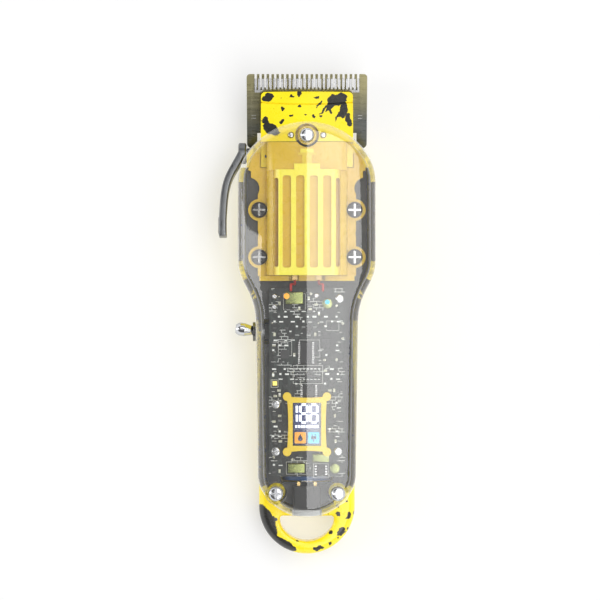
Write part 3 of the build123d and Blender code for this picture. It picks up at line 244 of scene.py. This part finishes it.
# Spatter on the yellow shell, in millimetres: middle X and Y, radius along X and Y, then turn in degrees
BLOBS = [
    (11.5, 86.2, 3.9, 2.1, 18), (13.6, 82.4, 1.3, 3.4, -12), (8.4, 82.9, 0.8, 2.4, 8),
    (15.4, 78.6, 1.2, 2.6, 10), (-14.6, 87.2, 2.1, 1.2, 25), (-13.4, 74.8, 3.2, 2.2, -30),
    (-15.8, 78.2, 1.2, 1.6, 0), (-9.2, 77.6, 1.0, 0.6, 30), (9.4, 84.2, 0.5, 3.6, -38),
    (6.6, 82.2, 0.4, 2.8, -42), (4.4, 84.4, 0.35, 2.0, -44), (11.8, 80.2, 0.45, 2.6, -32),
    (3.6, 86.9, 1.1, 0.5, 0), (-2.6, 83.4, 0.6, 0.6, 0), (5.4, 79.4, 0.7, 0.5, 20),
    (-5.6, 87.3, 0.8, 0.4, -20), (-15.2, -72.6, 3.0, 7.4, 24), (-9.6, -80.6, 6.0, 2.1, -28),
    (12.8, -76.2, 1.0, 2.2, -38), (4.2, -82.6, 2.2, 0.8, 10), (15.8, -70.2, 0.8, 1.6, -10),
    (8.8, -80.4, 0.7, 0.7, 0),
]


def blob_mask(n, spot, place):
    """1 inside one blob of paint: an ellipse whose edge follows the warped place."""
    x, y, wide, tall, turn = spot
    move = n.add("ShaderNodeMapping", vector_type="TEXTURE")
    n.put(move.inputs["Vector"], place)
    move.inputs["Location"].default_value = (x * MM, y * MM, 0.0)
    move.inputs["Rotation"].default_value = (0.0, 0.0, math.radians(turn))
    move.inputs["Scale"].default_value = (wide * MM, tall * MM, 1.0)
    flat = n.vector("MULTIPLY", move.outputs[0], (1.0, 1.0, 0.0))
    return n.ramp(n.vector("LENGTH", flat), 1.03, 0.97)


def yellow_shell():
    """Glossy yellow with near-black flung paint: big blobs, drips, streaks and fine droplets."""
    n = Nodes("yellow_shell")
    wobble = n.vector("SUBTRACT", n.noise(260.0, 4.0, 0.65, output=1), (0.5, 0.5, 0.5))
    place = n.vector("ADD", n.place, n.vector("SCALE", wobble, scale=0.0036))
    paint = 0.0
    for spot in BLOBS:
        paint = n.math("MAXIMUM", paint, blob_mask(n, spot, place))
    drops = n.voronoi(330.0, vector=place)
    size = n.parts(drops.outputs["Color"])[0]
    reach = n.ramp(size, 0.62, 1.0, 0.0, 0.34)
    paint = n.math("MAXIMUM", paint, n.math("LESS_THAN", drops.outputs["Distance"], reach))
    turned = n.add("ShaderNodeMapping")
    n.put(turned.inputs["Vector"], place)
    turned.inputs["Rotation"].default_value = (0.0, 0.0, math.radians(38))
    turned.inputs["Scale"].default_value = (1.0, 0.22, 1.0)
    streaks = n.voronoi(210.0, vector=turned.outputs[0])
    chosen = n.ramp(n.parts(streaks.outputs["Color"])[1], 0.72, 1.0, 0.0, 0.3)
    paint = n.math("MAXIMUM", paint, n.math("LESS_THAN", streaks.outputs["Distance"], chosen))
    flow = n.ramp(n.noise(45.0, 3.0), 0.35, 0.7)
    yellow = n.mix(flow, (0.95, 0.74, 0.008), (1.0, 0.84, 0.016))
    ink = n.mix(n.noise(500.0, 2.0), (0.015, 0.015, 0.014), (0.035, 0.034, 0.03))
    gloss = n.ramp(n.noise(300.0, 3.0), 0.3, 0.7, 0.24, 0.34)
    raised = n.math("ADD", n.math("MULTIPLY", paint, 0.6), n.noise(1800.0, 2.0))
    shader = n.principled(Base_Color=n.mix(paint, yellow, ink), Roughness=gloss, Coat_Weight=0.35,
                          Coat_Roughness=0.06, Normal=n.bump(raised, 0.1, 0.00008))
    return n.finish(shader)


def clear(name, tint, haze=0.03, gloss=0.03, painted_rim_highlight=0.26):
    """Polished clear plastic with a Fresnel gloss and a faint random haze, and a painted rim highlight: a
    milky white on its steep walls that stands in for the white room mirrored there.
    """
    n = Nodes(name)
    ripple = n.bump(n.noise(60.0, 2.0), 0.05, 0.0002)
    edge = n.add("ShaderNodeFresnel")
    edge.inputs["IOR"].default_value = WALL_IOR
    outside = n.math("SUBTRACT", 1.0, n.add("ShaderNodeNewGeometry").outputs["Backfacing"])
    through = n.add("ShaderNodeBsdfTransparent")
    through.inputs["Color"].default_value = (*tint, 1.0)
    haze_and_rim_white = n.add("ShaderNodeBsdfDiffuse")
    haze_and_rim_white.inputs["Color"].default_value = (0.9, 0.9, 0.88, 1.0)
    # Steep walls get a diffuse white: a painted rim highlight standing in for the white room mirrored at
    # grazing angles, added to the faint random haze.
    upright = n.math("ABSOLUTE", n.parts(n.add("ShaderNodeTexCoord").outputs["Normal"])[2])
    cloud = n.ramp(n.noise(180.0, 4.0), 0.35, 0.7, haze * 0.6, haze)
    haze_and_painted_rim = n.add("ShaderNodeMixShader")
    n.put(haze_and_painted_rim.inputs[0], n.math("ADD", cloud, n.ramp(upright, 0.9, 0.35, 0.0, painted_rim_highlight)))
    n.put(haze_and_painted_rim.inputs[1], through.outputs[0])
    n.put(haze_and_painted_rim.inputs[2], haze_and_rim_white.outputs[0])
    shine = n.add("ShaderNodeBsdfGlossy")
    shine.inputs["Color"].default_value = (1.0, 1.0, 1.0, 1.0)
    n.put(shine.inputs["Roughness"], n.ramp(n.noise(500.0, 3.0), 0.3, 0.7, gloss, gloss * 1.6))
    n.put(shine.inputs["Normal"], ripple)
    both = n.add("ShaderNodeMixShader")
    n.put(both.inputs[0], n.math("MULTIPLY", edge.outputs[0], outside))
    n.put(both.inputs[1], haze_and_painted_rim.outputs[0])
    n.put(both.inputs[2], shine.outputs[0])
    return n.finish(both.outputs[0])


def amber_plastic():
    """Amber moulding with painted shade and light: a deeper amber in its grooves and a lighter yellow on
    its ribs.
    """
    n = Nodes("amber_plastic")
    # Colour by height: the groove floors get a painted shade of darker amber and the rib tops a painted
    # light of bright yellow.
    height = n.ramp(n.parts()[2], GROOVE_FLOOR, RIB_TOP)
    flow = n.ramp(n.noise(60.0, 4.0), 0.3, 0.75)
    low = n.mix(flow, (0.72, 0.47, 0.01), (0.82, 0.57, 0.016))
    high = n.mix(flow, (1.0, 0.88, 0.05), (1.0, 0.93, 0.1))
    gloss = n.ramp(n.noise(350.0), 0.3, 0.7, 0.22, 0.36)
    grain = n.bump(n.noise(1500.0, 2.0), 0.06, 0.00005)
    shader = n.principled(Base_Color=n.mix(height, low, high), Roughness=gloss, Coat_Weight=0.3,
                          Coat_Roughness=0.1, Normal=grain)
    return n.finish(shader)


def gold_blade():
    """Coated comb blade, ground along its length, with a painted reflection: olive gold towards the tips
    that fades to dark grey towards the heel.
    """
    n = Nodes("gold_blade")
    y = n.parts()[1]
    lines = n.noise(900.0, 4.0, 0.7, n.stretch((0.06, 1.0, 1.0)))
    cloud = n.noise(38.0, 3.0)
    uneven = n.math("MULTIPLY", n.math("SUBTRACT", cloud, 0.5), 0.9)
    # The gold-to-grey fade along the blade, broken up by soft noise, is a painted reflection.
    reflection_fade = n.math("ADD", n.ramp(y, 0.076, 0.096, 0.0, 1.0), uneven)
    reflected_gold = n.mix(n.ramp(lines, 0.3, 0.75), (0.17, 0.155, 0.08), (0.29, 0.265, 0.15))
    reflected_grey = n.mix(n.ramp(lines, 0.3, 0.75), (0.07, 0.075, 0.07), (0.13, 0.135, 0.13))
    tint = n.mix(n.ramp(reflection_fade, 0.1, 0.75), reflected_grey, reflected_gold)
    shader = n.principled(Base_Color=tint, Metallic=1.0, Roughness=n.ramp(lines, 0.2, 0.8, 0.22, 0.38),
                          Normal=n.bump(lines, 0.15, 0.00004))
    return n.finish(shader)


def board():
    """Near-black solder mask with copper tracks under it, vias, bare pads and white legend marks."""
    n = Nodes("board")
    cells = n.voronoi(520.0, "F1", spread=0.0)
    track = n.voronoi(330.0, "DISTANCE_TO_EDGE", n.stretch((1.0, 0.45, 0.0)), 0.9).outputs["Distance"]
    tracks = n.ramp(track, 0.035, 0.06, 1.0, 0.0)
    base = n.mix(tracks, (0.006, 0.009, 0.009), (0.022, 0.032, 0.03))
    holes = n.voronoi(420.0, vector=n.stretch((1.0, 1.0, 0.0)), spread=0.85)
    chosen = n.math("GREATER_THAN", n.parts(holes.outputs["Color"])[0], 0.66)
    ring = n.math("MULTIPLY", n.math("LESS_THAN", holes.outputs["Distance"], 0.2), chosen)
    core = n.math("MULTIPLY", n.math("LESS_THAN", holes.outputs["Distance"], 0.09), chosen)
    face = n.mix(ring, base, (0.5, 0.5, 0.4))
    face = n.mix(core, face, (0.01, 0.01, 0.01))
    brick = n.add("ShaderNodeTexBrick")
    n.put(brick.inputs["Vector"], n.stretch((1.0, 1.0, 0.0)))
    brick.inputs["Scale"].default_value = 210.0
    brick.inputs["Mortar Size"].default_value = 0.03
    brick.inputs["Color1"].default_value = (0.0, 0.0, 0.0, 1.0)
    brick.inputs["Color2"].default_value = (0.0, 0.0, 0.0, 1.0)
    brick.inputs["Mortar"].default_value = (1.0, 1.0, 1.0, 1.0)
    some = n.math("GREATER_THAN", n.noise(170.0, 1.0), 0.6)
    legend = n.math("MULTIPLY", n.math("MULTIPLY", brick.outputs["Color"], some), 0.75)
    face = n.mix(legend, face, (0.72, 0.74, 0.72))
    height = n.math("ADD", n.math("MULTIPLY", tracks, 0.5), cells.outputs["Distance"])
    shader = n.principled(Base_Color=face, Roughness=n.ramp(ring, 0.0, 1.0, 0.3, 0.18), Coat_Weight=0.2,
                          Metallic=n.math("MULTIPLY", ring, 0.8), Normal=n.bump(height, 0.15, 0.00004))
    return n.finish(shader)


def chip_ends(name, body, end, pitch, low=0.35):
    """Small parts with tinned ends and a ceramic middle, each a slightly different shade."""
    n = Nodes(name)
    shade = n.noise(900.0, 0.0)
    tone = n.mix(n.ramp(shade, 0.4, 0.6), tuple(c * low for c in body), body)
    ends = n.math("GREATER_THAN", n.math("FRACT", n.math("MULTIPLY", n.parts()[1], pitch)), 0.62)
    grain = n.bump(n.noise(2600.0), 0.1, 0.00003)
    shader = n.principled(Base_Color=n.mix(ends, tone, end), Roughness=0.38,
                          Metallic=n.math("MULTIPLY", ends, 0.6), Normal=grain)
    return n.finish(shader)


def glowing(name, colour, strength):
    """A lit display element: its light comes through a finely dotted film."""
    n = Nodes(name)
    dots = n.voronoi(5200.0, spread=0.1).outputs["Distance"]
    tint = n.mix(n.ramp(dots, 0.2, 0.6), colour, tuple(c * 0.82 for c in colour))
    shader = n.principled(Base_Color=tint, Roughness=0.4, Emission_Color=tint, Emission_Strength=strength)
    return n.finish(shader)


def screen():
    """Dark blue display glass with unlit segment ghosts."""
    n = Nodes("screen")
    y = n.parts()[1]
    grid = n.voronoi(2600.0, spread=0.0).outputs["Distance"]
    glow = n.ramp(y, -0.043, -0.027, 0.0, 1.0)
    tint = n.mix(glow, (0.01, 0.02, 0.12), (0.02, 0.05, 0.3))
    tint = n.mix(n.ramp(grid, 0.1, 0.7, 0.0, 0.4), tint, (0.004, 0.006, 0.03))
    return n.finish(n.principled(Base_Color=tint, Roughness=0.18, Coat_Weight=0.5))


def wrap():
    """Shrink sleeve on the cell: a soft sheen with small puckers near the ends."""
    n = Nodes("battery_wrap")
    pucker = n.noise(140.0, 4.0, 0.6, n.stretch((1.0, 0.25, 1.0)))
    tint = n.mix(n.ramp(pucker, 0.3, 0.7), (0.02, 0.07, 0.2), (0.035, 0.11, 0.3))
    return n.finish(n.principled(Base_Color=tint, Roughness=0.32, Coat_Weight=0.2,
                                 Normal=n.bump(pucker, 0.3, 0.0002)))


def coil_wire():
    """Armature windings: rows of varnished copper wire along the core, with painted light on each turn's
    crest and painted shade between turns.
    """
    n = Nodes("winding")
    rows = n.math("SINE", n.math("MULTIPLY", n.parts()[0], 9000.0))
    # The copper is lighter on the crests and darker in the troughs of the same ridges: painted light and
    # shade.
    tint = n.mix(n.ramp(rows, -1.0, 1.0), (0.22, 0.07, 0.02), (0.6, 0.26, 0.1))
    ridges = n.bump(rows, 0.4, 0.0001)
    return n.finish(n.principled(Base_Color=tint, Metallic=0.8, Roughness=0.3, Normal=ridges))


def materials():
    """One procedural material for each of the record's slots."""
    return {
        "yellow_shell": yellow_shell(),
        "clear_shell": clear("clear_shell", (0.985, 0.985, 0.98)),
        "window_glass": clear("window_glass", (0.97, 0.98, 1.0), haze=0.02),
        "dark_plastic": moulded("dark_plastic", (0.045, 0.046, 0.048), 0.42),
        "black_plastic": moulded("black_plastic", (0.018, 0.018, 0.019), 0.4),
        "white_plastic": moulded("white_plastic", (0.78, 0.78, 0.75), 0.4, dark=0.9),
        "amber_plastic": amber_plastic(),
        "yellow_trim": moulded("yellow_trim", (1.0, 0.72, 0.03), 0.25, coat=0.4, dark=0.88, bump=0.05),
        "brass": metal("brass", (0.83, 0.6, 0.25), 0.28, (1.0, 0.1, 1.0)),
        "chrome": metal("chrome", (0.62, 0.63, 0.65), 0.14, depth=0.03, worn=0.9),
        "black_screw": metal("black_screw", (0.03, 0.03, 0.032), 0.35, depth=0.1, metallic=0.6),
        "motor_steel": metal("motor_steel", (0.6, 0.6, 0.62), 0.25, (1.0, 0.08, 1.0)),
        "winding": coil_wire(),
        "steel": metal("steel", (0.66, 0.66, 0.68), 0.22, (0.1, 1.0, 1.0)),
        "steel_blade": metal("steel_blade", (0.46, 0.46, 0.47), 0.3, (0.05, 1.0, 1.0), 0.2),
        "gold_blade": gold_blade(),
        "gunmetal": metal("gunmetal", (0.2, 0.205, 0.21), 0.3, (1.0, 0.1, 1.0), 0.2),
        "board": board(),
        "chip_plastic": moulded("chip_plastic", (0.022, 0.022, 0.025), 0.5, bump=0.3),
        "tinned": metal("tinned", (0.8, 0.8, 0.8), 0.25, depth=0.1),
        "can_green": metal("can_green", (0.36, 0.4, 0.16), 0.22, (0.2, 1.0, 1.0)),
        "resistor": chip_ends("resistor", (0.06, 0.06, 0.065), (0.8, 0.82, 0.8), 560.0, 0.4),
        "ceramic_chip": chip_ends("ceramic_chip", (0.7, 0.7, 0.56), (0.86, 0.87, 0.84), 430.0, 0.7),
        "inductor": moulded("inductor", (0.06, 0.06, 0.065), 0.5, bump=0.25),
        "led": glowing("led", (1.0, 0.85, 0.2), 0.7),
        "screen": screen(),
        "digit_white": glowing("digit_white", (0.93, 0.96, 1.0), 1.6),
        "icon_orange": glowing("icon_orange", (1.0, 0.42, 0.04), 0.7),
        "icon_blue": glowing("icon_blue", (0.05, 0.52, 0.8), 0.6),
        "battery_wrap": wrap(),
        "grey_plate": metal("grey_plate", (0.42, 0.43, 0.43), 0.32, (0.1, 1.0, 1.0)),
        "wire_red": moulded("wire_red", (0.6, 0.02, 0.015), 0.45),
        "wire_black": moulded("wire_black", (0.02, 0.02, 0.02), 0.45),
    }


def round_off(piece, angle=SMOOTH_ANGLE):
    """Smooth shading that keeps real edges crisp."""
    if "custom_normal" in piece.data.attributes:
        piece.data.attributes.remove(piece.data.attributes["custom_normal"])
    for face in piece.data.polygons:
        face.use_smooth = True
    weld = piece.modifiers.new("weld", "WELD")
    weld.merge_threshold = 0.000002
    split = piece.modifiers.new("split", "EDGE_SPLIT")
    split.split_angle = angle
    split.use_edge_sharp = False


def dress_nodes(finishes):
    """Gives every CAD node its slot's material."""
    for part in frame["record"]["subparts"]:
        piece = NODES[part["node"]]
        piece.data.materials.clear()
        piece.data.materials.append(finishes[part["material_slot"]])
        round_off(piece)


def surface_above(node):
    """A look-up from a place in the plan to the highest surface of a CAD node there, with its normal."""
    mesh = NODES[node].data
    tree = BVHTree.FromPolygons([v.co for v in mesh.vertices], [list(p.vertices) for p in mesh.polygons])
    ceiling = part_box(node)[1].z + MM

    def look(x, y):
        """The place and the normal of that surface, or two Nones beside the node."""
        place, normal, _, _ = tree.ray_cast(Vector((x, y, ceiling)), Vector((0.0, 0.0, -1.0)))
        return place, normal

    return look


def detail(name, shape, slot, body="housing"):
    """A finished small piece from a bmesh, riding a body, with its slot's material."""
    mesh = bpy.data.meshes.new(name)
    bmesh.ops.recalc_face_normals(shape, faces=shape.faces)
    shape.to_mesh(mesh)
    shape.free()
    piece = bpy.data.objects.new(name, mesh)
    bpy.context.scene.collection.objects.link(piece)
    mesh.materials.append(FINISHES[slot])
    soft = piece.modifiers.new("soft_edge", "BEVEL")
    soft.width = 0.03 * MM
    soft.segments = 2
    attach(piece, body)
    return piece


def add_prism(shape, ring, low, high, turn=None):
    """A closed prism on a plan outline, tilted by a matrix where one is given."""
    rings = []
    for z in (low, high):
        rings.append([shape.verts.new((x, y, z)) for x, y in ring])
    shape.faces.new(list(reversed(rings[0])))
    shape.faces.new(rings[1])
    for k in range(len(ring)):
        after = (k + 1) % len(ring)
        shape.faces.new((rings[0][k], rings[0][after], rings[1][after], rings[1][k]))
    if turn is not None:
        bmesh.ops.transform(shape, matrix=turn, verts=rings[0] + rings[1])


def rectangle(x, y, half_x, half_y):
    """A rectangle's corners in metres, from its middle and half sizes in millimetres."""
    corners = ((-half_x, -half_y), (half_x, -half_y), (half_x, half_y), (-half_x, half_y))
    return [((x + u) * MM, (y + v) * MM) for u, v in corners]


def plus_outline(reach, half):
    """The twelve corners of a plus sign."""
    corners = []
    for quarter in range(4):
        cos, sin = round(math.cos(quarter * math.pi / 2)), round(math.sin(quarter * math.pi / 2))
        for x, y in ((half, half), (half, reach), (-half, reach)):
            corners.append((x * cos - y * sin, x * sin + y * cos))
    return corners


def screw_crosses():
    """Bright driver crosses in the four black screws of the motor cage."""
    low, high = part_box("cage_screws")
    radius = SCREW_RADIUS * MM
    shape = bmesh.new()
    for x in (low.x + radius, high.x - radius):
        for y in (low.y + radius, high.y - radius):
            ring = [(x + u, y + v) for u, v in plus_outline(CROSS_REACH * MM, CROSS_HALF * MM)]
            add_prism(shape, ring, high.z + CROSS_DEPTH[0] * MM, high.z + CROSS_DEPTH[1] * MM)
    detail("cage_screw_crosses", shape, "chrome")


def print_mark(shape, ring, z):
    """One thin printed mark on the board."""
    low, high = PRINT_DEPTH
    add_prism(shape, ring, z + low * MM, z + high * MM)


def frame_bars(shape, middle, size, z, line=0.14):
    """Four thin printed bars round a rectangle on the board, in millimetres."""
    x, y = middle
    half_x, half_y = size[0] / 2, size[1] / 2
    bars = [(x, y + half_y, size[0], line), (x, y - half_y, size[0], line)]
    bars += [(x - half_x, y, line, size[1]), (x + half_x, y, line, size[1])]
    for bar_x, bar_y, wide, tall in bars:
        print_mark(shape, rectangle(bar_x, bar_y, wide / 2, tall / 2), z)


def board_legend():
    """White printed outlines round the board's larger parts, and its rows of short marks."""
    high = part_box("pcb")[1]
    z = high.z
    top = high.y / MM
    shape = bmesh.new()
    for down, x, wide, tall in LEGEND_BOXES:
        frame_bars(shape, (x, top - down), (wide, tall), z)
    for row in range(LEGEND_ROWS):
        y = top - LEGEND_FIRST - LEGEND_STEP * row
        for side in (-1, 1):
            x = side * (LEGEND_MARGIN + 0.35 * (row % 3))
            print_mark(shape, rectangle(x, y, 0.55 + 0.3 * (row % 2), 0.09), z)
    detail("board_legend", shape, "white_plastic")


def dome(shape, place, radius, height, rings=6, sides=28):
    """A low round dome that sits on the surface at a place."""
    loops = []
    for k in range(rings):
        angle = k / rings * math.pi / 2
        r, z = radius * math.cos(angle), place.z + height * math.sin(angle)
        loops.append([shape.verts.new((place.x + r * math.cos(t), place.y + r * math.sin(t), z))
                      for t in (2 * math.pi * j / sides for j in range(sides))])
    crown = shape.verts.new((place.x, place.y, place.z + height))
    shape.faces.new(list(reversed(loops[0])))
    for lower, upper in zip(loops, loops[1:]):
        for j in range(sides):
            after = (j + 1) % sides
            shape.faces.new((lower[j], lower[after], upper[after], upper[j]))
    for j in range(sides):
        shape.faces.new((loops[-1][j], loops[-1][(j + 1) % sides], crown))


def board_dots():
    """Small coloured inspection dots near the board's front edge."""
    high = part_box("pcb")[1]
    for name, x, down, radius, slot in DOTS:
        place = Vector((x * MM, high.y - down * MM, high.z))
        for node in ("pcb_capacitors", "pcb_inductors"):
            hit = surface_above(node)(place.x, place.y)[0]
            if hit is not None and hit.z > place.z:
                place = hit
        shape = bmesh.new()
        dome(shape, place, radius * MM, 0.3 * MM)
        detail(name, shape, slot)


def blade_marks():
    """Two short light setting marks on each margin of the comb blade, lying on its slope."""
    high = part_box("fixed_blade")[1]
    look = surface_above("fixed_blade")
    shape = bmesh.new()
    for side in (-1, 1):
        x = side * (high.x - MARK_INSET * MM)
        for step in (0.0, 1.0):
            place, normal = look(x, high.y - (MARK_BACK + step) * MM)
            if place is None:
                continue
            turn = Matrix.Translation(place) @ normal.to_track_quat("Z", "Y").to_matrix().to_4x4()
            ring = rectangle(0.0, 0.0, *MARK_HALF)
            add_prism(shape, ring, MARK_DEPTH[0] * MM, MARK_DEPTH[1] * MM, turn)
    detail("blade_setting_marks", shape, "steel_blade")


def area_light(name, place, size, power, aim):
    """A rectangular lamp that faces its aim."""
    data = bpy.data.lights.new(name, "AREA")
    data.shape = "RECTANGLE"
    data.size, data.size_y = size
    data.energy = power
    lamp = bpy.data.objects.new(name, data)
    lamp.location = place
    lamp.rotation_euler = (Vector(aim) - Vector(place)).to_track_quat("-Z", "Y").to_euler()
    bpy.context.scene.collection.objects.link(lamp)


def studio_world():
    """A white room seen from a table: bright walls under a darker ceiling, which flat tops mirror."""
    world = bpy.data.worlds.new("studio")
    world.use_nodes = True
    n = Nodes("studio", world.node_tree)
    direction = n.add("ShaderNodeTexCoord").outputs["Generated"]
    height = n.parts(direction)[2]
    level = n.ramp(height, WALL_TOP, CEILING, WALL_LIGHT, CEILING_LIGHT)
    n.put(world.node_tree.nodes["Background"].inputs[1], level)
    world.node_tree.nodes["Background"].inputs[0].default_value = (1.0, 1.0, 1.0, 1.0)
    return world


def stage_and_light():
    """Pale floor, soft studio light and the straight-down camera."""
    data = bpy.data.meshes.new("floor")
    corners = [(x * FLOOR_HALF, y * FLOOR_HALF, 0.0) for x, y in ((-1, -1), (1, -1), (1, 1), (-1, 1))]
    data.from_pydata(corners, [], [(0, 1, 2, 3)])
    floor = bpy.data.objects.new("floor", data)
    floor.location.z = cad_box[0][2] - FLOOR_GAP
    bpy.context.scene.collection.objects.link(floor)
    n = Nodes("floor_paint")
    tone = n.mix(n.noise(3.0, 2.0), (0.5, 0.5, 0.5), (0.53, 0.53, 0.53))
    shader = n.principled(Base_Color=tone, Roughness=0.7, Emission_Color=(1.0, 1.0, 1.0, 1.0),
                          Emission_Strength=FLOOR_GLOW)
    floor.data.materials.append(n.finish(shader))
    bpy.context.scene.world = studio_world()
    for lamp in LAMPS:
        area_light(*lamp)
    bpy.context.scene.view_settings.view_transform = "Standard"
    lens = bpy.data.cameras.new("camera")
    lens.lens = CAMERA_LENS
    lens.sensor_width = SENSOR
    camera = bpy.data.objects.new("camera", lens)
    camera.location = (*VIEW_CENTRE, VIEW_WIDTH * CAMERA_LENS / SENSOR + FOCUS_HEIGHT)
    bpy.context.scene.collection.objects.link(camera)
    bpy.context.scene.camera = camera


stage_and_light()
FINISHES = materials()
dress_nodes(FINISHES)
screw_crosses()
board_legend()
board_dots()
blade_marks()
